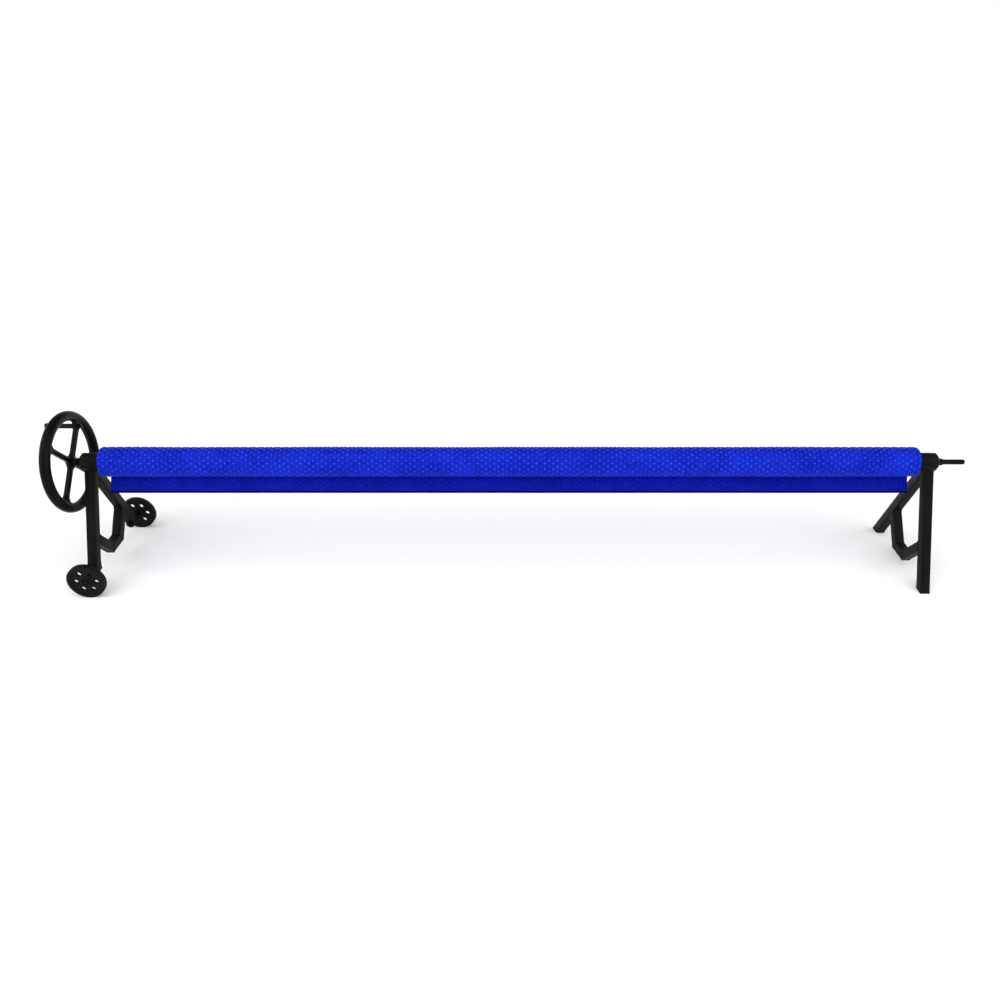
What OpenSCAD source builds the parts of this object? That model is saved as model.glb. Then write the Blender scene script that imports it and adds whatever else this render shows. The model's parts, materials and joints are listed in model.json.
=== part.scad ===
// Pool cover reel: two A-frame stands carry a tube that winds up a bubble cover.
// One stand rolls on two rollers, the other stands on feet. A hand wheel turns the tube.
// Millimetres, +Z up, X along the tube, the hand wheel at -X.
// Each part is drawn about the tube's axis, with X = 0 midway between the stands.
// place() then lifts it, so that the floor is Z = 0 and the origin is the bottom centre of the whole.

/* [Layout] */
// Height of the tube's axis above the floor
axis_height = 472; // [440:1:520]
// Clear distance between the inner faces of the two stands
stand_gap = 3324; // [3200:2:3600]

/* [Stands] */
// Width of the square tube of the legs
leg_size = 38; // [34:1:40]
// Wall of the legs and braces
leg_wall = 2; // [1.5:0.5:3]
// Lean of each leg from the vertical
leg_angle = 27; // [24:1:30]
// How far in front of the axis a leg's outer face passes, at the axis's height
leg_lead = 9; // [6:1:12]
// Height of the brace's underside above the floor, in the stand with rollers
roller_brace_height = 67; // [50:1:90]
// Height of the brace's underside above the floor, in the stand with feet
foot_brace_height = 27; // [20:1:60]
// Length of the brace's flat underside
brace_flat = 96; // [80:1:120]
// Depth of the brace's tube
brace_depth = 38; // [26:1:40]
// Rise of the brace's arms from the horizontal
brace_angle = 50; // [45:1:55]
// Thickness of a foot below the leg
foot_pad = 4; // [3:1:8]

/* [Bearings] */
// Diameter of the shafts
shaft_d = 22; // [18:1:24]
// Diameter of the bearing housings
housing_d = 74; // [66:1:76]
// Length of a bearing housing on the tube's side of the stand
housing_inboard = 26; // [24:1:30]
// Length of a conical bearing cap
cap_length = 20; // [10:1:20]
// Diameter of a bearing cap's narrow end
cap_tip_d = 28; // [26:1:32]

/* [Rollers] */
// Diameter of the rollers
roller_d = 150; // [130:1:160]
// Width of the rollers
roller_width = 24; // [22:1:30]
// Distance of a roller's inner face from the stand's middle plane
roller_reach = 249; // [245:1:260]
// Thickness of a roller's web
web_thickness = 12; // [6:1:14]
// Number of holes in a roller's web
web_holes = 6; // [4:1:7]
// Diameter of the holes in a roller's web
web_hole_d = 18; // [14:1:24]

/* [Hand wheel] */
// Distance of the hand wheel's middle plane from the stand's inner face
wheel_reach = 92; // [88:1:110]
// Diameter of the hand wheel, to the middle of its rim
wheel_d = 368; // [340:2:400]
// Thickness of the round rim
rim_d = 40; // [30:1:44]
// Width of a spoke
spoke_width = 20; // [18:1:28]
// Thickness of a spoke
spoke_depth = 18; // [14:1:24]
// Distance of the crank handle from the wheel's axis
handle_radius = 152; // [120:1:156]
// Distance of the handle's end from the hand wheel's middle plane
handle_reach = 125; // [90:1:150]
// Diameter of the handle's grip
grip_d = 20; // [18:1:26]

/* [Tube] */
// Diameter of the reel's tube
tube_d = 76; // [74:1:80]
// Wall of the tube
tube_wall = 2; // [1.5:0.5:2]
// Length of the shaft beyond the bearing cap, at the free end
stub_length = 102; // [80:1:150]
// Diameter of the free shaft end
stub_d = 21; // [17:1:21]

/* [Cover] */
// Diameter of the rolled cover
roll_d = 122; // [100:1:160]
// Width of the cover, along the tube
cover_width = 3248; // [3000:2:3248]
// Length of the cover's loose end below the roll
tail_length = 119; // [80:1:160]
// Thickness of the cover's loose end
tail_thickness = 5; // [3:0.5:8]
// Angle below the horizontal at which the loose end leaves the roll
tail_angle = 31; // [0:1:60]

/* [Hidden] */
$fn = 64;

// Sides of the reel along X and of a stand along Y
left = -1;
right = 1;
front = -1;
back = 1;

// Clearances
running = 0.06;
press = 0.02;
slack = 0.5;
cut = 1;

// Stands
stand_x = stand_gap / 2 + leg_size / 2;
leg_middle_y = leg_lead - leg_size / 2 / cos(leg_angle);
insert_size = leg_size - 2 * leg_wall - 2 * press;
brace_arm = 260;
foot_insert = 20;
housing_outboard = 2;

// Bearings, as distances along X from the reel's middle
housing_in_x = stand_gap / 2 - housing_inboard;
housing_out_x = stand_gap / 2 + leg_size + housing_outboard;
cap_out_x = housing_out_x + cap_length;
bush_r = 20;
bush_flange_r = 26;
bush_flange = 3.5;

// Rollers and their axles, as distances along Y from the stand's middle
axle_z = roller_d / 2 - axis_height;
axle_r = 6;
barrel_r = leg_size / 2 - 0.5;
barrel_neck_r = 13;
washer_r = 12;
barrel_past_leg = washer_r * tan(leg_angle) + slack;
barrel_y = leg_middle_y - axle_z * tan(leg_angle);
barrel_in_y = barrel_y - leg_size / 2 / cos(leg_angle) - barrel_past_leg;
washer_thickness = 2;
nut_width = 19;
nut_height = 8;
axle_head = 7;
bolt_past_nut = 2;
neck_out_y = roller_reach - slack - washer_thickness;
roller_out_y = roller_reach + roller_width;
head_pocket = 10;
head_pocket_r = 14;
roller_hub_r = 20;
roller_rim_depth = 15;
rim_inner_r = roller_d / 2 - roller_rim_depth;
tread_round = 4;
web_hole_pitch_r = (roller_hub_r + rim_inner_r) / 2;
leg_above_barrel = 0.5;
leg_end_z = axle_z + barrel_r + leg_above_barrel + leg_size / 2 * sin(leg_angle);
roller_leg_length = -leg_end_z / cos(leg_angle);
block_insert = 32;
block_screw_z = roller_leg_length - block_insert / 2;
block_screw_tip = 3;

// Tube
plug_flange = 4;
plug_depth = 68;
tube_end_x = housing_in_x - bush_flange - slack - plug_flange;
centre_tube_half = 700;
tube_overlap = 150;
shaft_in_x = tube_end_x - plug_depth;
pin_r = 4;
pin_inset = 20;
pin_x = shaft_in_x + pin_inset;
pin_recess = 2;
screw_r = 2.2;
screw_length = 8;
screw_head_r = 4.5;
screw_head = 2;
screw_inset = 48;
plug_screw_x = shaft_in_x + screw_inset;
joint_screw_x = centre_tube_half - screw_inset;
stub_tip_x = cap_out_x + stub_length;
tip_round = 8;
collar_r = 14;
collar_width = 10;
collar_x = cap_out_x + slack;
collar_out_x = collar_x + collar_width;

// Hand wheel and handle
wheel_x = stand_gap / 2 + wheel_reach;
wheel_hub_r = 25;
wheel_hub_in = 11;
wheel_hub_out = 11;
wheel_hub_out_x = wheel_x + wheel_hub_out;
wheel_boss_r = 16.5;
wheel_boss_gap = 1.5;
wheel_boss_in_x = cap_out_x + wheel_boss_gap;
gap_into_rim = 2;
gap_round = 26;
wheel_pin_r = 3;
wheel_pin_inset = 10;
wheel_pin_x = wheel_boss_in_x + wheel_pin_inset;
wheel_shaft_recess = 2;
wheel_washer_r = 14;
wheel_bolt_r = 5;
wheel_bolt_depth = 25;
wheel_bolt_head = 5;
wheel_hex = 17;
handle_y = handle_radius * cos(45);
handle_boss_r = 15;
handle_boss_out = 12;
handle_boss_in = 10;
handle_boss_out_x = wheel_x + handle_boss_out;
handle_boss_in_x = wheel_x - handle_boss_in;
handle_bolt_r = 5;
handle_nut_height = 8;
handle_nut_x = handle_boss_in_x - handle_nut_height;
handle_head = 6;
handle_head_r = 7;
grip_in_x = handle_boss_out_x + slack;
grip_out_x = wheel_x + handle_reach;
grip_shoulder = 4;
grip_shoulder_r = grip_d / 2 + 1;
grip_knob = 16;
grip_knob_r = grip_d / 2 + 2;
knob_round = 4;
grip_pocket = 8;

// Cover
roll_inner_r = tube_d / 2 + 3;
strap_width = 50;
strap_thickness = 1.2;
strap_spacing = 560;
strap_count = 6;
tail_gap = 0.3;

// Where the middle of the reel stands, so that the whole is centred on the origin
middle_x = (grip_out_x - stub_tip_x) / 2;

// Colours
black_paint = [0.10, 0.10, 0.11];
black_plastic = [0.06, 0.06, 0.07];
zinc = [0.55, 0.56, 0.58];
black_zinc = [0.16, 0.16, 0.17];
aluminium = [0.75, 0.76, 0.78];
nylon = [0.85, 0.84, 0.80];
cover_blue = [0.10, 0.18, 0.84];
tail_blue = [0.05, 0.09, 0.63];

// ---------- Shared shapes ----------

// Lifts a part to its height above the floor
module place() {
    translate([middle_x, 0, axis_height]) children();
}

// A rod along X between two distances from the reel's middle, on the given side
module rod_x(side, r, from, to) {
    translate([side > 0 ? from : -to, 0, 0]) rotate([0, 90, 0]) cylinder(r = r, h = to - from);
}

// A sleeve along X
module tube_x(side, r, bore_r, from, to) {
    difference() {
        rod_x(side, r, from, to);
        rod_x(side, bore_r, from - cut, to + cut);
    }
}

// A rod along Y between two distances from the stand's middle, on the given side
module rod_y(side, r, from, to) {
    translate([0, side > 0 ? to : -from, 0]) rotate([90, 0, 0]) cylinder(r = r, h = to - from);
}

// A hexagonal bar along Y, for heads and nuts
module hex_y(side, width, from, to) {
    translate([0, side > 0 ? to : -from, 0]) rotate([90, 0, 0]) {
        cylinder(r = width / 2 / cos(30), h = to - from, $fn = 6);
    }
}

// A hexagonal bar along X, at the hand wheel's end
module hex_x(width, from, to) {
    translate([-to, 0, 0]) rotate([0, 90, 0]) {
        cylinder(r = width / 2 / cos(30), h = to - from, $fn = 6);
    }
}

// Extrudes an outline drawn in the YZ plane along X, about the plane X = 0
module slab_x(width) {
    translate([-width / 2, 0, 0]) rotate([90, 0, 90]) linear_extrude(width) children();
}

// ---------- Stands ----------

// Puts children drawn about a stand's middle where that stand is
module at_stand(side) {
    translate([side * stand_x, 0, 0]) children();
}

// Puts children drawn along -Z where the front or back leg runs
module along_leg(face) {
    mirror([0, face > 0 ? 0 : 1, 0]) {
        translate([0, leg_middle_y, 0]) rotate([leg_angle, 0, 0]) children();
    }
}

// A square bar hanging from the leg's top end
module leg_bar(width, from, to) {
    translate([-width / 2, -width / 2, -to]) cube([width, width, to - from]);
}

// The half of a stand on the other side of its middle plane
module other_half(face) {
    translate([-leg_size, face > 0 ? -axis_height : 0, -2 * axis_height]) {
        cube([2 * leg_size, axis_height, 3 * axis_height]);
    }
}

// A leg, mitred at the stand's middle and coped around the bearing housing
module leg(face, length) {
    difference() {
        along_leg(face) leg_bar(leg_size, 0, length);
        along_leg(face) leg_bar(leg_size - 2 * leg_wall, -cut, length + cut);
        other_half(face);
        rod_x(right, housing_d / 2 + press, -leg_size, leg_size);
    }
}

// The place of the screw that holds an axle block, on the outer side of its leg
module at_block_screw(face) {
    along_leg(face) translate([0, 0, -block_screw_z]) rotate([0, -90, 0]) children();
}

// A leg that ends above its roller, drilled for the axle block's screw
module roller_leg(face) {
    difference() {
        leg(face, roller_leg_length);
        at_block_screw(face) cylinder(r = screw_r + press, h = leg_size);
    }
}

// A leg that is cut level above its foot
module foot_leg(face) {
    difference() {
        leg(face, 2 * axis_height);
        translate([-leg_size, -2 * axis_height, foot_pad - 3 * axis_height]) {
            cube([2 * leg_size, 4 * axis_height, 2 * axis_height]);
        }
    }
}

// One edge of the brace, at a height above its underside
function brace_edge(up) =
    let (corner = brace_flat / 2 - up * tan(brace_angle / 2))
    let (end_y = corner + brace_arm * cos(brace_angle), end_z = up + brace_arm * sin(brace_angle))
    [[-end_y, end_z], [-corner, up], [corner, up], [end_y, end_z]];

// The brace's outline between two heights above its underside
module brace_outline(low, high) {
    above = brace_edge(high);
    polygon(concat(brace_edge(low), [above[3], above[2], above[1], above[0]]));
}

// A bent brace between the legs, mitred against their inner faces
module brace(height) {
    difference() {
        translate([0, 0, height - axis_height]) difference() {
            slab_x(leg_size) brace_outline(0, brace_depth);
            slab_x(leg_size - 2 * leg_wall) brace_outline(leg_wall, brace_depth - leg_wall);
        }
        for (face = [front, back]) {
            along_leg(face) translate([-leg_size, -leg_size / 2, -3 * axis_height]) {
                cube([2 * leg_size, axis_height, 4 * axis_height]);
            }
        }
    }
}

// A foot: a pad as wide as the leg's cut end, with an insert that fills the end of the leg
module foot(face) {
    pad_length = leg_size / cos(leg_angle);
    pad_y = leg_middle_y + (axis_height - foot_pad) * tan(leg_angle);
    translate([-leg_size / 2, face * pad_y - pad_length / 2, -axis_height]) {
        cube([leg_size, pad_length, foot_pad]);
    }
    intersection() {
        along_leg(face) leg_bar(insert_size, 0, 2 * axis_height);
        translate([-leg_size, -2 * axis_height, foot_pad - axis_height]) {
            cube([2 * leg_size, 4 * axis_height, foot_insert]);
        }
    }
}

// A round housing for the bushing, on top of a stand
module housing(side) {
    tube_x(side, housing_d / 2, bush_r + press, housing_in_x, housing_out_x);
}

// A flanged bushing that the shaft turns in
module bushing(side) {
    tube_x(side, bush_r, shaft_d / 2 + running, housing_in_x, housing_out_x);
    tube_x(side, bush_flange_r, shaft_d / 2 + running, housing_in_x - bush_flange, housing_in_x);
}

// A conical cap over the bearing's outer end
module bearing_cap(side) {
    difference() {
        translate([side * housing_out_x, 0, 0]) rotate([0, side * 90, 0]) {
            cylinder(r1 = housing_d / 2, r2 = cap_tip_d / 2, h = cap_length);
        }
        rod_x(side, shaft_d / 2 + slack, housing_out_x - cut, cap_out_x + cut);
    }
}

// ---------- Rollers ----------

// Half of a roller's section: distance from the axle, then distance from the inner face
module roller_section() {
    middle = roller_width / 2;
    r = roller_d / 2;
    difference() {
        union() {
            translate([axle_r + running, 0]) square([roller_hub_r - axle_r - running, roller_width]);
            translate([roller_hub_r - cut, middle - web_thickness / 2]) {
                square([rim_inner_r - roller_hub_r + 2 * cut, web_thickness]);
            }
            translate([rim_inner_r, 0]) square([r - tread_round - rim_inner_r, roller_width]);
            translate([r - tread_round - cut, tread_round]) {
                square([tread_round + cut, roller_width - 2 * tread_round]);
            }
            for (z = [tread_round, roller_width - tread_round]) {
                translate([r - tread_round, z]) circle(r = tread_round);
            }
        }
        translate([0, roller_width - head_pocket]) square([head_pocket_r, head_pocket + cut]);
    }
}

// A moulded roller that turns about Y, with a ring of holes in its web
module roller(face) {
    translate([0, face * roller_reach, axle_z]) rotate([-face * 90, 0, 0]) difference() {
        rotate_extrude() roller_section();
        for (i = [0 : web_holes - 1]) {
            rotate(i * 360 / web_holes) translate([web_hole_pitch_r, 0, 0]) {
                cylinder(d = web_hole_d, h = roller_width);
            }
        }
    }
}

// The block in the open end of a leg: an insert, a body as wide as the leg, and a barrel for the axle
module axle_block(face) {
    difference() {
        union() {
            along_leg(face) {
                leg_bar(insert_size, roller_leg_length - block_insert, roller_leg_length + cut);
            }
            intersection() {
                along_leg(face) leg_bar(leg_size, roller_leg_length, 2 * roller_leg_length);
                translate([-leg_size, -axis_height, axle_z]) {
                    cube([2 * leg_size, 2 * axis_height, 2 * leg_size]);
                }
            }
            translate([0, 0, axle_z]) {
                rod_y(face, barrel_r, barrel_in_y, barrel_y + leg_size / 2 / cos(leg_angle));
                rod_y(face, barrel_neck_r, barrel_y, neck_out_y);
            }
        }
        translate([0, 0, axle_z]) rod_y(face, axle_r + press, barrel_in_y - cut, neck_out_y + cut);
        at_block_screw(face) cylinder(r = screw_r + press, h = leg_size);
    }
}

// The bolt that a roller turns on, with its head in the roller's pocket
module axle_bolt(face) {
    head_y = roller_out_y - head_pocket + slack + washer_thickness;
    translate([0, 0, axle_z]) {
        rod_y(face, axle_r, barrel_in_y - washer_thickness - nut_height - bolt_past_nut, head_y);
        hex_y(face, nut_width, head_y, head_y + axle_head);
    }
}

// A washer on an axle
module axle_washer(face, from) {
    translate([0, 0, axle_z]) difference() {
        rod_y(face, washer_r, from, from + washer_thickness);
        rod_y(face, axle_r + press, from - cut, from + washer_thickness + cut);
    }
}

// The nut on an axle's inner end
module axle_nut(face) {
    nut_y = barrel_in_y - washer_thickness;
    translate([0, 0, axle_z]) difference() {
        hex_y(face, nut_width, nut_y - nut_height, nut_y);
        rod_y(face, axle_r + press, nut_y - nut_height - cut, nut_y + cut);
    }
}

// ---------- Tube and shafts ----------

// A hole along Y through the tube's walls, for a pair of screws
module screw_holes(side, x) {
    translate([side * x, 0, 0]) rod_y(back, screw_r + press, -tube_d, tube_d);
}

// An outer section of the telescopic tube
module outer_tube(side) {
    difference() {
        tube_x(side, tube_d / 2, tube_d / 2 - tube_wall, centre_tube_half - tube_overlap, tube_end_x);
        screw_holes(side, joint_screw_x);
        screw_holes(side, plug_screw_x);
    }
}

// One screw through the tube's wall
module tube_screw(x, face) {
    translate([x, 0, 0]) {
        rod_y(face, screw_r, tube_d / 2 - screw_length, tube_d / 2);
        rod_y(face, screw_head_r, tube_d / 2, tube_d / 2 + screw_head);
    }
}

// The plug that joins a shaft to the tube's end
module tube_plug(side) {
    difference() {
        union() {
            rod_x(side, tube_d / 2 - tube_wall - press, tube_end_x - plug_depth, tube_end_x);
            rod_x(side, tube_d / 2, tube_end_x, tube_end_x + plug_flange);
        }
        rod_x(side, shaft_d / 2 + press, tube_end_x - plug_depth - cut, tube_end_x + plug_flange + cut);
        screw_holes(side, plug_screw_x);
        translate([side * pin_x, 0, -tube_d]) cylinder(r = pin_r + press, h = 2 * tube_d);
    }
}

// The cross hole of a shaft
module cross_hole(side, x, r) {
    translate([side * x, 0, -shaft_d]) cylinder(r = r + press, h = 2 * shaft_d);
}

// Half of the free shaft end's section: distance from its axis, then distance from its shoulder
module stub_section() {
    length = stub_tip_x - collar_out_x;
    translate([0, -cut]) square([stub_d / 2, length + cut - tip_round]);
    square([stub_d / 2 - tip_round, length]);
    intersection() {
        translate([stub_d / 2 - tip_round, length - tip_round]) circle(r = tip_round);
        square([stub_d / 2, length]);
    }
}

// ---------- Hand wheel ----------

// One opening between two spokes, with rounded corners
module wheel_gap() {
    offset(r = gap_round) offset(delta = -gap_round) intersection() {
        circle(r = (wheel_d - rim_d) / 2 + gap_into_rim);
        rotate(45) translate([spoke_width / 2, spoke_width / 2]) square(wheel_d);
    }
}

// Rim, web of four spokes, hub and the boss that carries the handle
module wheel_body() {
    translate([-wheel_x, 0, 0]) rotate([0, 90, 0]) {
        rotate_extrude() translate([wheel_d / 2, 0]) circle(d = rim_d);
        translate([0, 0, -spoke_depth / 2]) difference() {
            cylinder(d = wheel_d, h = spoke_depth);
            for (i = [0 : 3]) {
                rotate(i * 90) translate([0, 0, -cut]) {
                    linear_extrude(spoke_depth + 2 * cut) wheel_gap();
                }
            }
        }
    }
    rod_x(left, wheel_hub_r, wheel_x - wheel_hub_in, wheel_hub_out_x);
    rod_x(left, wheel_boss_r, wheel_boss_in_x, wheel_x);
    translate([0, handle_y, handle_y]) {
        rod_x(left, handle_boss_r, handle_boss_in_x, handle_boss_out_x);
    }
}

// Half of the grip's section: distance from its axis, then distance from its inner end
module grip_section() {
    length = grip_out_x - grip_in_x;
    difference() {
        union() {
            square([grip_d / 2, length - grip_knob]);
            square([grip_shoulder_r, grip_shoulder]);
            translate([0, length - grip_knob]) knob_section();
        }
        translate([0, -cut]) square([handle_bolt_r + running, length]);
        translate([0, length - grip_pocket]) square([handle_head_r + slack, grip_pocket + cut]);
    }
}

// Half of the section of the grip's round-edged end
module knob_section() {
    flat_r = grip_knob_r - knob_round;
    square([flat_r, grip_knob]);
    translate([0, knob_round]) square([grip_knob_r, grip_knob - 2 * knob_round]);
    for (z = [knob_round, grip_knob - knob_round]) {
        translate([flat_r, z]) circle(r = knob_round);
    }
}

// ---------- Parts of the stands ----------

module left_front_leg() { color(black_paint) place() at_stand(left) roller_leg(front); }
module left_back_leg() { color(black_paint) place() at_stand(left) roller_leg(back); }
module left_brace() { color(black_paint) place() at_stand(left) brace(roller_brace_height); }
module left_housing() { color(black_paint) place() housing(left); }
module left_bushing() { color(nylon) place() bushing(left); }
module left_cap() { color(black_plastic) place() bearing_cap(left); }
module right_front_leg() { color(black_paint) place() at_stand(right) foot_leg(front); }
module right_back_leg() { color(black_paint) place() at_stand(right) foot_leg(back); }
module right_brace() { color(black_paint) place() at_stand(right) brace(foot_brace_height); }
module right_housing() { color(black_paint) place() housing(right); }
module right_bushing() { color(nylon) place() bushing(right); }
module right_cap() { color(black_plastic) place() bearing_cap(right); }
module right_front_foot() { color(black_plastic) place() at_stand(right) foot(front); }
module right_back_foot() { color(black_plastic) place() at_stand(right) foot(back); }
module front_axle_block() { color(black_plastic) place() at_stand(left) axle_block(front); }
module back_axle_block() { color(black_plastic) place() at_stand(left) axle_block(back); }
module front_axle() { color(black_zinc) place() at_stand(left) axle_bolt(front); }
module back_axle() { color(black_zinc) place() at_stand(left) axle_bolt(back); }

module block_screws() {
    color(black_zinc) place() at_stand(left) for (face = [front, back]) {
        at_block_screw(face) {
            translate([0, 0, block_screw_tip]) cylinder(r = screw_r, h = leg_size / 2 - block_screw_tip);
            translate([0, 0, leg_size / 2]) cylinder(r = screw_head_r, h = screw_head);
        }
    }
}

module axle_washers() {
    color(black_zinc) place() at_stand(left) for (face = [front, back]) {
        axle_washer(face, barrel_in_y - washer_thickness);
        axle_washer(face, neck_out_y);
        axle_washer(face, roller_out_y - head_pocket + slack);
    }
}

module axle_nuts() {
    color(black_zinc) place() at_stand(left) for (face = [front, back]) axle_nut(face);
}

module front_roller() { color(black_plastic) place() at_stand(left) roller(front); }
module back_roller() { color(black_plastic) place() at_stand(left) roller(back); }

// ---------- Parts of the reel ----------

module left_tube() { color(aluminium) place() outer_tube(left); }
module right_tube() { color(aluminium) place() outer_tube(right); }

module centre_tube() {
    sliding_r = tube_d / 2 - tube_wall - 2 * running;
    color(aluminium) place() difference() {
        tube_x(right, sliding_r, sliding_r - tube_wall, -centre_tube_half, centre_tube_half);
        screw_holes(left, joint_screw_x);
        screw_holes(right, joint_screw_x);
    }
}

module tube_screws() {
    color(zinc) place() for (side = [left, right], face = [front, back]) {
        tube_screw(side * joint_screw_x, face);
        tube_screw(side * plug_screw_x, face);
    }
}

module left_tube_plug() { color(black_plastic) place() tube_plug(left); }
module right_tube_plug() { color(black_plastic) place() tube_plug(right); }

module left_shaft() {
    end_x = wheel_hub_out_x - wheel_shaft_recess;
    color(black_paint) place() difference() {
        rod_x(left, shaft_d / 2, shaft_in_x, end_x);
        rod_x(left, wheel_bolt_r + press, end_x - wheel_bolt_depth, end_x + cut);
        cross_hole(left, pin_x, pin_r);
        cross_hole(left, wheel_pin_x, wheel_pin_r);
    }
}

module right_shaft() {
    color(black_paint) place() {
        difference() {
            rod_x(right, shaft_d / 2, shaft_in_x, collar_out_x);
            cross_hole(right, pin_x, pin_r);
        }
        translate([collar_out_x, 0, 0]) rotate([0, 90, 0]) rotate_extrude() stub_section();
    }
}

module shaft_pins() {
    pin_length = tube_d - 2 * tube_wall - 2 * pin_recess;
    color(zinc) place() for (side = [left, right]) {
        translate([side * pin_x, 0, -pin_length / 2]) cylinder(r = pin_r, h = pin_length);
    }
}

module collar() {
    color(black_paint) place() difference() {
        tube_x(right, collar_r, shaft_d / 2 + press, collar_x, collar_out_x);
        translate([collar_x + collar_width / 2, 0, 0]) cylinder(r = screw_r + press, h = tube_d);
    }
}

module collar_screw() {
    color(zinc) place() translate([collar_x + collar_width / 2, 0, shaft_d / 2 + press]) {
        cylinder(r = screw_r, h = collar_r - shaft_d / 2);
    }
}

module hand_wheel() {
    color(black_plastic) place() difference() {
        wheel_body();
        rod_x(left, shaft_d / 2 + press, wheel_boss_in_x - cut, wheel_hub_out_x + cut);
        translate([-wheel_pin_x, 0, -tube_d / 2]) cylinder(r = wheel_pin_r + press, h = tube_d);
        translate([0, handle_y, handle_y]) {
            rod_x(left, handle_bolt_r + press, handle_boss_in_x - cut, handle_boss_out_x + cut);
        }
    }
}

module wheel_pin() {
    color(zinc) place() translate([-wheel_pin_x, 0, -wheel_boss_r]) {
        cylinder(r = wheel_pin_r, h = 2 * wheel_boss_r);
    }
}

module wheel_washer() {
    head_x = wheel_hub_out_x + washer_thickness;
    color(black_zinc) place() tube_x(left, wheel_washer_r, wheel_bolt_r + press, wheel_hub_out_x, head_x);
}

module wheel_bolt() {
    head_x = wheel_hub_out_x + washer_thickness;
    color(black_zinc) place() {
        rod_x(left, wheel_bolt_r, wheel_hub_out_x - wheel_bolt_depth, head_x);
        hex_x(wheel_hex, head_x, head_x + wheel_bolt_head);
    }
}

module handle_bolt() {
    head_x = grip_out_x - grip_pocket + slack;
    color(black_zinc) place() translate([0, handle_y, handle_y]) {
        rod_x(left, handle_bolt_r, handle_nut_x - bolt_past_nut, head_x);
        rod_x(left, handle_head_r, head_x, head_x + handle_head);
    }
}

module handle_nut() {
    color(black_zinc) place() translate([0, handle_y, handle_y]) difference() {
        hex_x(wheel_hex, handle_nut_x, handle_boss_in_x);
        rod_x(left, handle_bolt_r + press, handle_nut_x - cut, handle_boss_in_x + cut);
    }
}

module handle_grip() {
    color(black_plastic) place() translate([-grip_in_x, handle_y, handle_y]) rotate([0, -90, 0]) {
        rotate_extrude() grip_section();
    }
}

// ---------- Cover ----------

module cover_straps() {
    first_x = -strap_spacing * (strap_count - 1) / 2;
    color(tail_blue) place() for (i = [0 : strap_count - 1]) {
        x = first_x + i * strap_spacing - strap_width / 2;
        tube_x(right, tube_d / 2 + tail_gap + strap_thickness, tube_d / 2 + tail_gap, x, x + strap_width);
    }
}

module cover_roll() {
    color(cover_blue) place() {
        tube_x(right, roll_d / 2, roll_inner_r, -cover_width / 2, cover_width / 2);
    }
}

module cover_tail() {
    color(tail_blue) place() rotate([-tail_angle, 0, 0]) {
        translate([-cover_width / 2, roll_d / 2 + tail_gap, -tail_length]) {
            cube([cover_width, tail_thickness, tail_length]);
        }
    }
}

left_front_leg();
left_back_leg();
left_brace();
left_housing();
left_bushing();
left_cap();
right_front_leg();
right_back_leg();
right_brace();
right_housing();
right_bushing();
right_cap();
right_front_foot();
right_back_foot();
front_axle_block();
back_axle_block();
block_screws();
front_axle();
back_axle();
axle_washers();
axle_nuts();
front_roller();
back_roller();
left_tube();
centre_tube();
right_tube();
tube_screws();
left_tube_plug();
right_tube_plug();
left_shaft();
right_shaft();
shaft_pins();
collar();
collar_screw();
hand_wheel();
wheel_pin();
wheel_washer();
wheel_bolt();
handle_bolt();
handle_nut();
handle_grip();
cover_straps();
cover_roll();
cover_tail();
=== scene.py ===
"""Looks of the pool cover reel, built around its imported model.

Metres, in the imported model's frame: +Z up, X along the tube, the hand wheel at -X, the viewer at -Y.
The bearings, shafts, fasteners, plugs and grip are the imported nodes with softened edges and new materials.
The stands' tubes, the rollers, the hand wheel and the cover are new pieces that replace the plain nodes.
"""

import json
import math

import bpy
import numpy as np
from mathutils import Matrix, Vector

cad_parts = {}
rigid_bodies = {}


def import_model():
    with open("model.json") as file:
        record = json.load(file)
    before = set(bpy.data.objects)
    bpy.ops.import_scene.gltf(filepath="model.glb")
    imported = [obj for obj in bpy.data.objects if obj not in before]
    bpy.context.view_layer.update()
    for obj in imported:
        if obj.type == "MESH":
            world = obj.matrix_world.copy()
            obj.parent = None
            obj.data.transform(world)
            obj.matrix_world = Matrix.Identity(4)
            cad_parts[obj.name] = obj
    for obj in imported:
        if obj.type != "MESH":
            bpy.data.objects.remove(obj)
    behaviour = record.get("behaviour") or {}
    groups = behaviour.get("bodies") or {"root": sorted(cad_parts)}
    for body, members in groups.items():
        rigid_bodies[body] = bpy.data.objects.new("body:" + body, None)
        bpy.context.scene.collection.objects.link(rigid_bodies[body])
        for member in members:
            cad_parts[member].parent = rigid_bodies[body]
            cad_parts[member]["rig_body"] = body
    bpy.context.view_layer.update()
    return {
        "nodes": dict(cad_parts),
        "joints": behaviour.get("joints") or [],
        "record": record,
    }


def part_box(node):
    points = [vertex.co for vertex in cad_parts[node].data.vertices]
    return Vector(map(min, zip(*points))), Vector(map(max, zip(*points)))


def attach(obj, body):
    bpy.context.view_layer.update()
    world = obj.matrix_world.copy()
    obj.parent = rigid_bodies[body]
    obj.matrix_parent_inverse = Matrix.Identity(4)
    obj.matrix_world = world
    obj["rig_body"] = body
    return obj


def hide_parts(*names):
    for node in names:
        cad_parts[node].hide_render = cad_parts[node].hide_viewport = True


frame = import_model()
record = frame["record"]

MM = 0.001
FRONT, BACK = -1, 1

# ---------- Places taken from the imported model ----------

joints = {j["name"]: j for j in frame["joints"]}
axis = Vector(joints["reel_spin"]["pos_m"])
roll_low, roll_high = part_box("cover_roll")
tail_low, tail_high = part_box("cover_tail")
middle_x = (roll_low.x + roll_high.x) / 2
cover_width = roll_high.x - roll_low.x

# ---------- Sizes of the looks ----------

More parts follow.
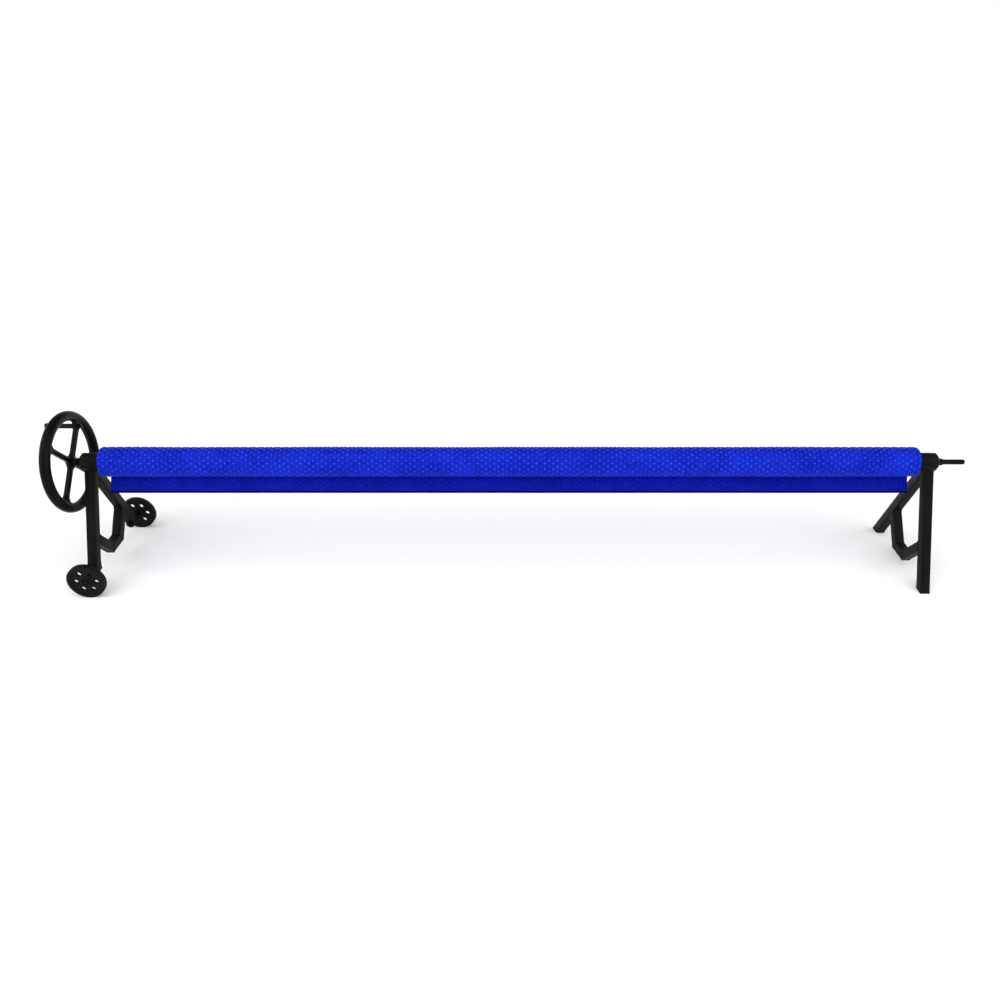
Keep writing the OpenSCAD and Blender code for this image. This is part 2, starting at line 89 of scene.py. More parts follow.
LEG_ANGLE = math.radians(27)
TUBE_CORNER = 3.5 * MM
WELD_R = 2.0 * MM
TAIL_ANGLE = math.radians(31)
BRACE_DEPTH = 38 * MM
BRACE_FLAT = 96 * MM
BRACE_ANGLE = math.radians(50)
FILM = 0.6 * MM
TURNS = 7
TUBE_TO_FILM = 3.6 * MM
BUBBLE_COLUMNS = 2 * round(cover_width / (33 * MM))
BUBBLE_COLUMN = cover_width / BUBBLE_COLUMNS
BUBBLE_STEP = 23 * MM
BUBBLE_R = 7.4 * MM
BUBBLE_H = 1.6 * MM
HEM = 8 * MM


# ---------- Materials ----------


class Nodes:
    """A material's node tree, with short calls for the nodes that the materials here share."""

    def __init__(self, name):
        self.material = bpy.data.materials.new(name)
        self.material.use_nodes = True
        self.tree = self.material.node_tree
        self.shader = self.tree.nodes["Principled BSDF"]
        self.place = self.add("ShaderNodeTexCoord").outputs["Object"]

    def add(self, kind, **values):
        node = self.tree.nodes.new(kind)
        for key, value in values.items():
            if hasattr(node, key):
                setattr(node, key, value)
            else:
                node.inputs[key.replace("_", " ")].default_value = value
        return node

    def link(self, output, target):
        self.tree.links.new(output, target)

    def math(self, operation, a, b=None):
        node = self.add("ShaderNodeMath", operation=operation)
        for socket, value in zip(node.inputs, (a, b)):
            if isinstance(value, (int, float)):
                socket.default_value = value
            elif value is not None:
                self.link(value, socket)
        return node.outputs[0]

    def stretched(self, scale):
        node = self.add("ShaderNodeMapping")
        node.inputs["Scale"].default_value = scale
        self.link(self.place, node.inputs["Vector"])
        return node.outputs[0]

    def noise(self, scale, detail=3.0, roughness=0.5, place=None):
        node = self.add("ShaderNodeTexNoise", Scale=scale, Detail=detail, Roughness=roughness)
        self.link(place or self.place, node.inputs["Vector"])
        return node.outputs["Fac"]

    def ramp(self, factor, stops):
        """stops are (position, colour) pairs; a colour may be one grey number."""
        node = self.add("ShaderNodeValToRGB")
        elements = node.color_ramp.elements
        while len(elements) < len(stops):
            elements.new(0.5)
        for element, (position, colour) in zip(elements, stops):
            colour = (colour,) * 3 if isinstance(colour, (int, float)) else colour
            element.position = position
            element.color = (*colour, 1)
        self.link(factor, node.inputs["Fac"])
        return node.outputs["Color"]

    def colour(self, output):
        self.link(output, self.shader.inputs["Base Color"])

    def roughness(self, factor, low, high):
        self.link(self.ramp(factor, [(0.3, low), (0.7, high)]), self.shader.inputs["Roughness"])

    def bump(self, height, distance, strength=1.0):
        node = self.add("ShaderNodeBump", Distance=distance, Strength=strength)
        self.link(height, node.inputs["Height"])
        self.link(node.outputs["Normal"], self.shader.inputs["Normal"])

    def set(self, **values):
        for key, value in values.items():
            self.shader.inputs[key.replace("_", " ")].default_value = value


def powder_coat():
    """Satin black powder coat: fine orange peel, faint cloudiness and pale scuffs."""
    made = Nodes("powder_coat")
    clouds = made.noise(14, 4)
    scuffs = made.noise(160, 6, 0.7)
    base = made.ramp(clouds, [(0.35, (0.0016, 0.0016, 0.0021)), (0.65, (0.0032, 0.0032, 0.0040))])
    worn = made.add("ShaderNodeMix", data_type="RGBA")
    made.link(made.ramp(scuffs, [(0.66, 0.0), (0.74, 0.5)]), worn.inputs["Factor"])
    made.link(base, worn.inputs[6])
    worn.inputs[7].default_value = (0.022, 0.022, 0.023, 1)
    made.colour(worn.outputs[2])
    made.roughness(clouds, 0.40, 0.54)
    made.bump(made.noise(900, 2), 0.12 * MM, 0.5)
    made.set(Specular_IOR_Level=0.08)
    return made.material


def moulded_plastic(name, dark, light, smooth, rough, grain=1400, depth=0.06, level=0.07):
    """Moulded plastic: fine texture from the mould, with slightly uneven gloss."""
    made = Nodes(name)
    patches = made.noise(30, 4)
    made.colour(made.ramp(patches, [(0.3, dark), (0.7, light)]))
    made.roughness(patches, smooth, rough)
    made.bump(made.noise(grain, 2), depth * MM, 0.5)
    made.set(Specular_IOR_Level=level)
    return made.material


def rubber():
    """Matt black rubber with fine grit and dust."""
    made = Nodes("foot_rubber")
    dust = made.noise(220, 6, 0.7)
    made.colour(made.ramp(dust, [(0.45, (0.005, 0.005, 0.005)), (0.75, (0.018, 0.0175, 0.0165))]))
    made.roughness(dust, 0.75, 0.9)
    made.bump(made.noise(1500, 3), 0.15 * MM, 0.7)
    made.set(Specular_IOR_Level=0.12)
    return made.material


def metal(name, dark, light, smooth, rough, scale):
    """Bare or plated metal with fine marks along one direction, as scale stretches them."""
    made = Nodes(name)
    marks = made.noise(1.0, 5, 0.6, made.stretched(scale))
    spots = made.noise(90, 5)
    made.colour(made.ramp(spots, [(0.3, dark), (0.7, light)]))
    made.roughness(marks, smooth, rough)
    made.bump(marks, 0.04 * MM, 0.4)
    made.set(Metallic=1.0)
    return made.material


def webbing():
    """Woven strap: a fine diagonal weave in dark blue."""
    made = Nodes("strap_webbing")
    weave = made.add("ShaderNodeTexWave", Scale=160.0, Distortion=1.5, bands_direction="DIAGONAL")
    made.link(made.place, weave.inputs["Vector"])
    made.colour(made.ramp(weave.outputs["Fac"], [(0.2, (0.008, 0.015, 0.11)), (0.8, (0.02, 0.035, 0.22))]))
    made.bump(weave.outputs["Fac"], 0.3 * MM, 0.8)
    made.set(Roughness=0.8, Specular_IOR_Level=0.2)
    return made.material


def film(name, dark, light, seam, painted_highlight_colour):
    """Blue bubble film: soft gloss, small wrinkles, a pressed ring around each bubble and a painted highlight, a
    paler blue, on its top.

    The rings follow the piece's own cloth map, in metres across and along the sheet."""
    made = Nodes(name)
    patches = made.noise(9, 5)
    grains = made.noise(420, 3)
    blotches = made.math("MULTIPLY", made.math("ADD", patches, made.noise(65, 2)), 0.5)
    base = made.ramp(blotches, [(0.38, dark), (0.62, light)])
    cloth = made.add("ShaderNodeUVMap", uv_map="cloth")
    parts = made.add("ShaderNodeSeparateXYZ")
    made.link(cloth.outputs["UV"], parts.inputs[0])
    across = made.math("DIVIDE", parts.outputs[0], BUBBLE_COLUMN)
    along = made.math("DIVIDE", parts.outputs[1], BUBBLE_STEP)
    odd = made.math("MODULO", made.math("FLOOR", across), 2.0)
    along = made.math("ADD", along, made.math("MULTIPLY", odd, 0.5))
    x = made.math("MULTIPLY", made.math("SUBTRACT", made.math("FRACT", across), 0.5), BUBBLE_COLUMN)
    y = made.math("MULTIPLY", made.math("SUBTRACT", made.math("FRACT", along), 0.5), BUBBLE_STEP)
    squares = made.math("ADD", made.math("MULTIPLY", x, x), made.math("MULTIPLY", y, y))
    distance = made.math("DIVIDE", made.math("SQRT", squares), BUBBLE_R)
    ring = made.ramp(distance, [(0.45, 0.0), (0.9, 1.0), (1.0, 0.75)])
    pressed = made.add("ShaderNodeMix", data_type="RGBA")
    made.link(made.math("MULTIPLY", ring, 0.6), pressed.inputs["Factor"])
    made.link(base, pressed.inputs[6])
    pressed.inputs[7].default_value = (*seam, 1)
    # painted highlight: a paler blue on each bubble's top, stronger in random patches, standing in for light caught
    # by the bubbles
    painted_highlight_mix = made.add("ShaderNodeMix", data_type="RGBA")
    top = made.ramp(distance, [(0.2, 1.0), (0.65, 0.0)])
    strength = made.ramp(made.noise(45, 2), [(0.4, 0.04), (0.62, 0.6)])
    made.link(made.math("MULTIPLY", top, strength), painted_highlight_mix.inputs["Factor"])
    made.link(pressed.outputs[2], painted_highlight_mix.inputs[6])
    painted_highlight_mix.inputs[7].default_value = (*painted_highlight_colour, 1)
    made.colour(painted_highlight_mix.outputs[2])
    made.roughness(patches, 0.30, 0.46)
    height = made.math("ADD", made.math("MULTIPLY", grains, 0.25), made.math("MULTIPLY", ring, -0.8))
    made.bump(height, 0.4 * MM, 0.45)
    made.set(IOR=1.1)
    return made.material


def hem_film():
    """The welded hem: darker film with fine pressed lines along its length."""
    made = Nodes("hem_film")
    lines = made.add("ShaderNodeTexWave", Scale=120.0, bands_direction="X")
    made.link(made.place, lines.inputs["Vector"])
    patches = made.noise(12, 4)
    made.colour(made.ramp(patches, [(0.3, (0.0007, 0.0014, 0.036)), (0.7, (0.0014, 0.0028, 0.056))]))
    made.roughness(patches, 0.35, 0.5)
    made.bump(lines.outputs["Fac"], 0.25 * MM, 0.6)
    made.set(IOR=1.1)
    return made.material


def plain_floor():
    """A plain pale floor with the faintest unevenness."""
    made = Nodes("pale_floor")
    made.colour(made.ramp(made.noise(0.7, 3), [(0.3, (0.93, 0.93, 0.93)), (0.7, (0.95, 0.95, 0.95))]))
    made.set(Roughness=0.9, Specular_IOR_Level=0.1)
    return made.material


slots = {
    "black_frame": powder_coat(),
    "black_shaft": metal("black_shaft", (0.004, 0.004, 0.005), (0.008, 0.008, 0.009), 0.3, 0.45, (40, 900, 900)),
    "black_fastener": metal("black_fastener", (0.005, 0.005, 0.0055), (0.012, 0.012, 0.013), 0.35, 0.5, (300, 300, 300)),
    "black_plastic": moulded_plastic("black_plastic", (0.0016, 0.0016, 0.002), (0.0032, 0.0032, 0.0038), 0.42, 0.55),
    "roller_plastic": moulded_plastic(
        "roller_plastic", (0.0035, 0.0035, 0.004), (0.0065, 0.0065, 0.007), 0.45, 0.6, 900, 0.1, 0.08
    ),
    "wheel_plastic": moulded_plastic("wheel_plastic", (0.001, 0.001, 0.0013), (0.0022, 0.0022, 0.0026), 0.26, 0.38),
    "grip_plastic": moulded_plastic("grip_plastic", (0.0024, 0.0024, 0.0028), (0.0042, 0.0042, 0.0046), 0.34, 0.46),
    "foot_rubber": rubber(),
    "nylon": moulded_plastic("nylon", (0.62, 0.60, 0.54), (0.74, 0.72, 0.66), 0.4, 0.5),
    "tube_aluminium": metal("tube_aluminium", (0.55, 0.56, 0.58), (0.68, 0.69, 0.71), 0.28, 0.42, (3, 700, 700)),
    "zinc_fastener": metal("zinc_fastener", (0.20, 0.20, 0.21), (0.34, 0.34, 0.35), 0.32, 0.5, (300, 300, 300)),
    "strap_webbing": webbing(),
}


# ---------- Meshes ----------


def new_piece(name, points, faces, material, body, sharp=30):
    """A mesh piece from points and faces, smooth except across edges sharper than the angle."""
    mesh = bpy.data.meshes.new(name)
    mesh.from_pydata([tuple(p) for p in points], [], faces)
    mesh.validate()
    mesh.shade_smooth()
    mesh.set_sharp_from_angle(angle=math.radians(sharp))
    mesh.materials.append(material)
    piece = bpy.data.objects.new(name, mesh)
    bpy.context.scene.collection.objects.link(piece)
    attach(piece, body)
    return piece


def soften(node, width, segments=2):
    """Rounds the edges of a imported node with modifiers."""
    piece = frame["nodes"][node]
    weld = piece.modifiers.new("weld", "WELD")
    weld.merge_threshold = 0.01 * MM
    dissolve = piece.modifiers.new("dissolve", "DECIMATE")
    dissolve.decimate_type = "DISSOLVE"
    dissolve.angle_limit = math.radians(0.5)
    bevel = piece.modifiers.new("bevel", "BEVEL")
    bevel.width = width
    bevel.segments = segments
    bevel.angle_limit = math.radians(35)
    bevel.harden_normals = True


def ring_faces(rings, around, closed):
    """Quads between rings of the same number of points; closed joins the last ring to the first."""
    faces = []
    for i in range(rings if closed else rings - 1):
        here = i * around
        there = (i + 1) % rings * around
        for k in range(around):
            after = (k + 1) % around
            faces.append((here + k, here + after, there + after, there + k))
    return faces


def rounded_section(width, depth, corner, steps=4):
    """A rectangle with round corners, as points from its middle."""
    points = []
    for index, (u, v) in enumerate(((1, 1), (-1, 1), (-1, -1), (1, -1))):
        for step in range(steps + 1):
            turn = math.radians(90 * (index + step / steps))
            across = u * (width / 2 - corner) + corner * math.cos(turn)
            points.append((across, v * (depth / 2 - corner) + corner * math.sin(turn)))
    return points


def swept(path, section, first_plane, last_plane):
    """Rings of a bar whose section runs along a path in a YZ plane, mitred at its corners."""
    path = [Vector(p) for p in path]
    runs = [(b - a).normalized() for a, b in zip(path, path[1:])]
    planes = [Vector(first_plane)]
    planes += [(a + b).normalized() for a, b in zip(runs, runs[1:])]
    planes += [Vector(last_plane)]
    points = []
    for i, corner in enumerate(path):
        run = runs[min(i, len(runs) - 1)]
        side = Vector((1, 0, 0))
        up = run.cross(side)
        for u, v in section:
            offset = side * u + up * v
            shift = -offset.dot(planes[i]) / run.dot(planes[i])
            points.append(corner + offset + run * shift)
    return points


def bar(name, path, section, first_plane, last_plane, body):
    """A closed bar of powder-coated square tube."""
    points = swept(path, section, first_plane, last_plane)
    around = len(section)
    faces = ring_faces(len(path), around, closed=False)
    faces.append(tuple(range(around)))
    faces.append(tuple(reversed(range(len(points) - around, len(points)))))
    return new_piece(name, points, faces, slots["black_frame"], body)


def evenly(points, step, closed=True):
    """Points a fixed step apart along a path."""
    path = [Vector(p) for p in points] + ([Vector(points[0])] if closed else [])
    lengths = [0.0]
    for a, b in zip(path, path[1:]):
        lengths.append(lengths[-1] + (b - a).length)
    count = max(8, round(lengths[-1] / step))
    out = []
    k = 0
    for i in range(count + (0 if closed else 1)):
        at = lengths[-1] * i / count
        while k < len(path) - 2 and lengths[k + 1] < at:
            k += 1
        share = (at - lengths[k]) / max(lengths[k + 1] - lengths[k], 1e-9)
        out.append(path[k].lerp(path[k + 1], share))
    return out


def weld_bead(outline, sides=7):
    """Points and faces of a rippled weld bead along a closed outline."""
    line = evenly(outline, 1.4 * MM)
    count = len(line)
    points = []
    for i, here in enumerate(line):
        run = (line[(i + 1) % count] - line[i - 1]).normalized()
        side = run.orthogonal() if abs(run.x) > 0.9 else run.cross(Vector((1, 0, 0)))
        side.normalize()
        up = run.cross(side)
        radius = WELD_R * (1 + 0.16 * math.cos(i * 1.55) + 0.06 * math.sin(i * 0.37))
        for k in range(sides):
            turn = 2 * math.pi * k / sides
            points.append(here + side * radius * math.cos(turn) + up * radius * math.sin(turn))
    return points, ring_faces(count, sides, closed=True)


def joined(parts):
    """Points and faces of several shapes as one."""
    points, faces = [], []
    for more_points, more_faces in parts:
        start = len(points)
        points += list(more_points)
        faces += [tuple(start + k for k in face) for face in more_faces]
    return points, faces


# ---------- Stands ----------


def leg_line():
    """The middle line of the right stand's back leg: its distance back at a height below the axis."""
    low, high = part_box("right_back_leg")
    size = high.x - low.x
    outer_y = high.y
    below = axis.z - low.z
    at_axis = outer_y - size / 2 / math.cos(LEG_ANGLE) - below * math.tan(LEG_ANGLE)
    return lambda z: at_axis + (axis.z - z) * math.tan(LEG_ANGLE)


def stand_frame(side):
    """The four tubes of one stand as three pieces, and its welds as a fourth."""
    low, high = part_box(f"{side}_back_leg")
    size = high.x - low.x
    x = (low.x + high.x) / 2
    line = leg_line()
    apex_z = axis.z + line(axis.z) / math.tan(LEG_ANGLE)
    down = Vector((0, math.sin(LEG_ANGLE), -math.cos(LEG_ANGLE)))
    section = rounded_section(size, size, TUBE_CORNER)
    if side == "left":
        end_z = low.z + size / 2 * math.sin(LEG_ANGLE)
        end_plane = down
    else:
        end_z = low.z
        end_plane = Vector((0, 0, -1))
    for face, word in ((FRONT, "front"), (BACK, "back")):
        flip = Vector((1, face, 1))
        leg = bar(
            f"{side}_{word}_leg_tube",
            [Vector((x, 0, apex_z)), Vector((x, face * line(end_z), end_z))],
            section,
            Vector((0, face, 0)),
            end_plane * flip,
            "stand",
        )
        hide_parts(f"{side}_{word}_leg")
    # brace
    brace_low, brace_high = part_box(f"{side}_brace")
    depth = BRACE_DEPTH
    middle_z = brace_low.z + depth / 2
    corner_y = BRACE_FLAT / 2 - depth / 2 * math.tan(BRACE_ANGLE / 2)
    inner = Vector((0, math.cos(LEG_ANGLE), math.sin(LEG_ANGLE)))
    point = Vector((x, line(apex_z) - size / 2 * math.cos(LEG_ANGLE), apex_z - size / 2 * math.sin(LEG_ANGLE)))
    arm = Vector((0, math.cos(BRACE_ANGLE), math.sin(BRACE_ANGLE)))
    corner = Vector((x, corner_y, middle_z))
    reach = (point - corner).dot(inner) / arm.dot(inner)
    end = corner + arm * (reach + 1 * MM)
    mirror = Vector((1, -1, 1))
    path = [end * mirror, corner * mirror, corner, end]
    brace_section = rounded_section(size, depth, TUBE_CORNER)
    brace = bar(f"{side}_brace_tube", path, brace_section, inner * mirror, inner, "stand")
    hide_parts(f"{side}_brace")
    # welds
    welds = []
    rings = swept(path, brace_section, inner * mirror, inner)
    around = len(brace_section)
    for i in range(len(path)):
        ring = rings[i * around : (i + 1) * around]
        pull = -inner * 1 * MM if i == 3 else -(inner * mirror) * 1 * MM if i == 0 else Vector((0, 0, 0))
        shrink = 1.0 if i in (0, 3) else 0.97
        centre = sum(ring, Vector()) / around
        welds.append(weld_bead([centre + (p - centre) * shrink + pull for p in ring]))
    welds.append(weld_bead(housing_outline(side, x, size, line)))
    points, faces = joined(welds)
    new_piece(f"{side}_stand_welds", points, faces, slots["black_frame"], "stand", 60)


def housing_outline(side, x, size, line):
    """The closed line where the pair of legs meets the bearing housing."""
    low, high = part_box(f"{side}_housing")
    radius = (high.z - low.z) / 2
    lead = line(axis.z) + size / 2 / math.cos(LEG_ANGLE)
    # the outer face is y = lead + tan(angle) * depth below the axis
    slope = math.tan(LEG_ANGLE)
    a, b, c = 1 + slope**2, 2 * lead * slope, lead**2 - radius**2
    below = (-b + math.sqrt(b * b - 4 * a * c)) / (2 * a)
    turn = math.atan2(lead + slope * below, below)
    half = size / 2 - TUBE_CORNER * 0.3
    steps = 12
    arc = [turn * (2 * i / steps - 1) for i in range(steps + 1)]
    there = [(x + half, t) for t in arc]
    back = [(x - half, t) for t in reversed(arc)]
    return [Vector((u, radius * math.sin(t), axis.z - radius * math.cos(t))) for u, t in there + back]


for side in ("left", "right"):
    stand_frame(side)


# ---------- Hand wheel and rollers ----------


def moulded_copy(name, node, voxel, passes, slot):
    """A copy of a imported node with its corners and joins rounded, as a moulding has them."""
    source = frame["nodes"][node]
    piece = bpy.data.objects.new(name, source.data.copy())
    bpy.context.scene.collection.objects.link(piece)
    weld = piece.modifiers.new("weld", "WELD")
    weld.merge_threshold = 0.01 * MM
    remesh = piece.modifiers.new("remesh", "REMESH")
    remesh.mode = "VOXEL"
    remesh.voxel_size = voxel
    smooth = piece.modifiers.new("smooth", "SMOOTH")
    smooth.factor = 0.5
    smooth.iterations = passes
    shown = piece.evaluated_get(bpy.context.evaluated_depsgraph_get())
    mesh = bpy.data.meshes.new_from_object(shown)
    piece.modifiers.clear()
    piece.data = mesh
    mesh.materials.clear()
    mesh.materials.append(slots[slot])
    mesh.shade_smooth()
    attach(piece, source["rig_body"])
    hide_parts(node)
    return piece


moulded_copy("moulded_hand_wheel", "hand_wheel", 2.2 * MM, 8, "wheel_plastic")
for word in ("front", "back"):
    moulded_copy(f"moulded_{word}_roller", f"{word}_roller", 1.5 * MM, 3, "roller_plastic")


# ---------- Cover ----------


class Cover:
    """The one sheet that is wound on the tube: a loose end, then turns that go in to the tube.

    A point on it is (across, along, lift): along runs from the hem, lift is off the bubbles' side."""

    def __init__(self):
        self.outer_r = (roll_high.z - roll_low.z) / 2 - 1 * MM
        tube_low, tube_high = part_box("left_tube")
        inner_r = (tube_high.z - tube_low.z) / 2 + TUBE_TO_FILM
        self.pitch = (self.outer_r - inner_r) / TURNS
        self.start_z = axis.z - self.outer_r * math.sin(TAIL_ANGLE)
        self.loose = (self.start_z - tail_low.z) / math.cos(TAIL_ANGLE)
        turned = 2 * math.pi * TURNS
        self.wound = self.outer_r * turned - self.pitch * turned**2 / (4 * math.pi)
        self.length = self.loose + self.wound
        self.width = cover_width

    def place(self, across, along, lift):
        """Where points of the sheet lie, from arrays of the same length."""
        across, along, lift = (np.asarray(a, float) for a in (across, along, lift))
        x = roll_low.x + across
        wound = np.maximum(along - self.loose, 0)
        k = self.pitch / (2 * math.pi)
        theta = (self.outer_r - np.sqrt(np.maximum(self.outer_r**2 - 2 * k * wound, 0))) / k
        sway = 0.35 * MM * np.sin(x * 7.0) + 0.25 * MM * np.sin(x * 17.0 + 1.0)
        radius = self.outer_r - k * theta + lift + sway
        angle = theta - TAIL_ANGLE
        free = np.maximum(self.loose - along, 0)
        share = free / self.loose
        wave = share**2 * (1.6 * MM * np.sin(x * 5.3 + 0.7) + 0.8 * MM * np.sin(x * 13.0))
        radius = radius + wave
        y = radius * np.cos(angle) - free * math.sin(TAIL_ANGLE)
        z = radius * np.sin(angle) - free * math.cos(TAIL_ANGLE)
        ragged = 1.3 * MM * np.sin(0.9 * theta) * np.minimum(theta / 6.0, 1)
        return np.stack([x + ragged, axis.y + y, axis.z + z], axis=1)


def bubble_template(cell_w, cell_h):
    """One cell of the sheet with its bubble: points as (across, along, lift) and faces.

    The first six points are the cell's outline; the neighbours in the next columns share them."""
    outline = [(0, 0), (1, 0), (1, 0.5), (1, 1), (0, 1), (0, 0.5)]
    outline = [(u * cell_w, v * cell_h, 0.0) for u, v in outline]
    centre = (cell_w / 2, cell_h / 2)
    rings = [(BUBBLE_R, 0.0), (BUBBLE_R * 0.8, BUBBLE_H * 0.68), (BUBBLE_R * 0.45, BUBBLE_H * 0.96)]
    sides = 8
    points = list(outline)
    for radius, lift in rings:
        for k in range(sides):
            turn = 2 * math.pi * k / sides
            points.append((centre[0] + radius * math.cos(turn), centre[1] + radius * math.sin(turn), lift))
    points.append((*centre, BUBBLE_H))
    angle = lambda i: math.atan2(points[i][1] - centre[1], points[i][0] - centre[0]) % (2 * math.pi)
    outside = sorted(range(6), key=angle)
    inside = list(range(6, 6 + sides))
    faces = []
    i, j = 0, 0
    outer_angles = [angle(k) for k in outside]
    inner_angles = [angle(k) for k in inside]
    while i < len(outside) or j < len(inside):
        a, b = outside[i % 6], inside[j % sides]
        next_outer = outer_angles[i] if i < 6 else 9
        next_inner = inner_angles[j] if j < sides else 9
        if (i < 6 and next_outer <= next_inner) or j >= sides:
            faces.append((outside[i - 1], outside[i % 6], inside[j - 1] if j else inside[-1]))
            i += 1
        else:
            faces.append((outside[i - 1] if i else outside[-1], inside[j], inside[j - 1]))
            j += 1
    for level in range(len(rings) - 1):
        start = 6 + level * sides
        for k in range(sides):
            after = (k + 1) % sides
            faces.append((start + k, start + after, start + sides + after, start + sides + k))
    top = 6 + len(rings) * sides
    start = top - sides
    faces += [(start + k, start + (k + 1) % sides, top) for k in range(sides)]
    return np.array(points), faces


def zipped(first, second, first_at, second_at, flip=False):
    """Triangles between two rows of points, given where each point lies along the rows."""
    faces = []
    i, j = 0, 0
    while i < len(first) - 1 or j < len(second) - 1:
        if j == len(second) - 1 or (i < len(first) - 1 and first_at[i + 1] <= second_at[j + 1]):
            face = (first[i], first[i + 1], second[j])
            i += 1
        else:
            face = (first[i], second[j + 1], second[j])
            j += 1
        faces.append(tuple(reversed(face)) if flip else face)
    return faces


def bubble_cover():
    """The cover as one closed thin sheet: bubbles outside, smooth film inside."""
    cover = Cover()
    columns = BUBBLE_COLUMNS
    half = BUBBLE_STEP / 2
    fine_rows = 1 + math.ceil((cover.loose + 2 * math.pi * cover.outer_r - HEM) / half) + 1
    rows = 1 + round((cover.length - HEM) / half)
    edge_columns = 3

    def along(row):
        return 0.0 if row == 0 else HEM + (row - 1) * half

    points, faces, inside_faces = [], [], []
    ids = {}

    def vertex(column, row):
        key = (column, row)
        if key not in ids:
            ids[key] = len(points)
            points.append((column * BUBBLE_COLUMN, along(row), 0.0))
        return ids[key]

    template, template_faces = bubble_template(BUBBLE_COLUMN, BUBBLE_STEP)

    def cell(column, row):
        corners = [(0, 0), (1, 0), (1, 1), (1, 2), (0, 2), (0, 1)]
        local = [vertex(column + u, row + v) for u, v in corners]
        start = len(points)
        base = np.array([column * BUBBLE_COLUMN, along(row), 0.0])
        points.extend(map(tuple, template[6:] + base))
        local += list(range(start, start + len(template) - 6))
        faces.extend(tuple(local[k] for k in face) for face in template_faces)

    def flat(column, row, span=1):
        faces.append((vertex(column, row), vertex(column + span, row), vertex(column + span, row + 1), vertex(column, row + 1)))

    for column in range(columns):
        near_edge = column < edge_columns or column >= columns - edge_columns
        last = rows if near_edge else fine_rows
        flat(column, 0)
        row = 1
        if column % 2:
            flat(column, row)
            row += 1
        while row + 2 <= last:
            cell(column, row)
            row += 2
        while row < last:
            flat(column, row)
            row += 1
    # inner turns between the two edges, where nothing shows
    first, last = edge_columns, columns - edge_columns
    upper = [vertex(c, fine_rows) for c in range(first, last + 1)]
    lower = [vertex(first, fine_rows + 1), vertex(last, fine_rows + 1)]
    faces.extend(zipped(upper, lower, [c for c in range(first, last + 1)], [first, last]))
    for row in range(fine_rows + 1, rows):
        flat(first, row, last - first)
    # the smooth side
    coarse = 28
    inner = {}
    for row in range(rows + 1):
        for k in range(coarse + 1):
            inner[k, row] = len(points)
            points.append((k * cover.width / coarse, along(row), -FILM))
    for row in range(rows):
        for k in range(coarse):
            inside_faces.append((inner[k, row], inner[k, row + 1], inner[k + 1, row + 1], inner[k + 1, row]))
    for row in range(rows):
        faces.append((vertex(0, row), vertex(0, row + 1), inner[0, row + 1], inner[0, row]))
        faces.append((vertex(columns, row + 1), vertex(columns, row), inner[coarse, row], inner[coarse, row + 1]))
    for row, turned in ((0, True), (rows, False)):
        outer_columns = sorted(c for c, r in ids if r == row)
        outer_ids = [vertex(c, row) for c in outer_columns]
        inner_ids = [inner[k, row] for k in range(coarse + 1)]
        at_inner = [k * columns / coarse for k in range(coarse + 1)]
        faces.extend(zipped(outer_ids, inner_ids, outer_columns, at_inner, turned))
    cloth = np.array(points)
    placed = cover.place(cloth[:, 0], cloth[:, 1], cloth[:, 2])
    # each film's last colour is its painted highlight, the paler blue painted on the bubbles' tops
    outside = film(
        "bubble_film", (0.0035, 0.015, 0.40), (0.0085, 0.034, 0.64), (0.001, 0.006, 0.23), (0.045, 0.09, 0.78)
    )
    inside = film(
        "smooth_film", (0.0018, 0.006, 0.28), (0.0042, 0.014, 0.46), (0.0015, 0.005, 0.26), (0.007, 0.02, 0.5)
    )
    piece = new_piece("bubble_cover", placed, faces + inside_faces, outside, "reel", 60)
    piece.data.materials.append(inside)
    for polygon in piece.data.polygons[len(faces):]:
        polygon.material_index = 1
    uv = piece.data.uv_layers.new(name="cloth")
    corner = np.zeros(len(piece.data.loops), int)
    piece.data.loops.foreach_get("vertex_index", corner)
    shifted = cloth[corner, :2] - np.array([0.0, HEM])
    uv.data.foreach_set("uv", shifted.ravel())
    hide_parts("cover_roll", "cover_tail")
    return cover, piece


def cover_hem(cover):
    """The welded hem: a flat band that wraps the cover's loose edge."""
    section = rounded_section(HEM + 1 * MM, FILM + 2.2 * MM, 1.2 * MM)
    steps = 160
    points = []
    for i in range(steps + 1):
        across = np.full(len(section), (cover.width + 1 * MM) * i / steps - 0.5 * MM)
        along = np.array([HEM / 2 - 0.3 * MM + u for u, _ in section])
        lift = np.array([v - FILM / 2 for _, v in section])
        points += list(cover.place(across, along, lift))
    around = len(section)
    faces = ring_faces(steps + 1, around, closed=False)
    faces.append(tuple(reversed(range(around))))
    faces.append(tuple(range(len(points) - around, len(points))))
    return new_piece("cover_hem", points, faces, hem_film(), "reel", 50)


cover, sheet = bubble_cover()
hem = cover_hem(cover)


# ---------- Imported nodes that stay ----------

shown_as = {s["node"]: s["material_slot"] for s in record["subparts"]}
for name, node in frame["nodes"].items():
    if not node.hide_render:
        node.data.materials.clear()
        node.data.materials.append(slots[shown_as[name]])
        soften(name, (2.5 if name.endswith("housing") else 0.8) * MM)


# ---------- Studio ----------


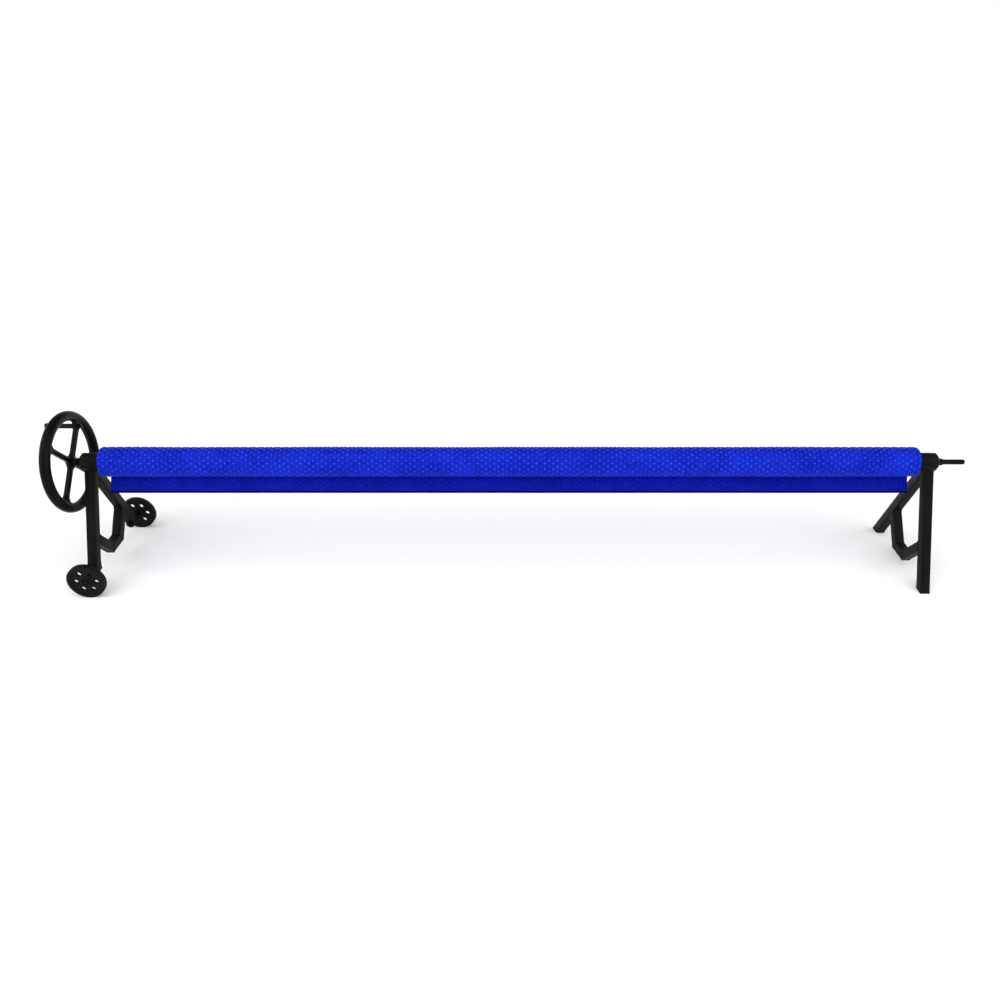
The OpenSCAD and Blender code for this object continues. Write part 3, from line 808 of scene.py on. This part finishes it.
def soft_sky(high, low):
    """A dim white sky that is brighter close to the horizon, as a studio's pale walls make it."""
    world = bpy.data.worlds.new("studio")
    world.use_nodes = True
    tree = world.node_tree
    place = tree.nodes.new("ShaderNodeTexCoord")
    parts = tree.nodes.new("ShaderNodeSeparateXYZ")
    ramp = tree.nodes.new("ShaderNodeValToRGB")
    ramp.color_ramp.elements[0].position = 0.1
    ramp.color_ramp.elements[0].color = (low, low, low, 1)
    ramp.color_ramp.elements[1].position = 0.5
    ramp.color_ramp.elements[1].color = (high, high, high, 1)
    tree.links.new(place.outputs["Generated"], parts.inputs[0])
    tree.links.new(parts.outputs["Z"], ramp.inputs["Fac"])
    tree.links.new(ramp.outputs["Color"], tree.nodes["Background"].inputs["Color"])
    return world


def studio():
    """A plain pale floor, soft daylight from above the camera, and the camera."""
    size = 400
    mesh = bpy.data.meshes.new("floor")
    mesh.from_pydata([(-size, -size, 0), (size, -size, 0), (size, size, 0), (-size, size, 0)], [], [(0, 1, 2, 3)])
    mesh.materials.append(plain_floor())
    floor = bpy.data.objects.new("floor", mesh)
    bpy.context.scene.collection.objects.link(floor)
    bpy.context.scene.world = soft_sky(0.33, 1.0)
    for name, strength, spread, lean, turn in (
        ("key_light", 1.6, 70, 24, -15),
        ("left_light", 1.6, 70, 70, -70),
        ("right_light", 1.6, 70, 70, 70),
    ):
        light = bpy.data.lights.new(name, "SUN")
        light.energy = strength
        light.angle = math.radians(spread)
        lamp = bpy.data.objects.new(name, light)
        lamp.rotation_euler = (math.radians(lean), 0, math.radians(turn))
        bpy.context.scene.collection.objects.link(lamp)
    lens = bpy.data.cameras.new("camera")
    lens.sensor_width = 36
    lens.lens = 28.735
    lens.shift_x = -0.0091
    lens.shift_y = 0.0005
    camera = bpy.data.objects.new("camera", lens)
    camera.location = (middle_x, -2.827, 1.9744)
    camera.rotation_euler = (math.radians(90 - 30.754), 0, 0)
    bpy.context.scene.collection.objects.link(camera)
    bpy.context.scene.camera = camera
    bpy.context.scene.view_settings.view_transform = "Standard"


studio()
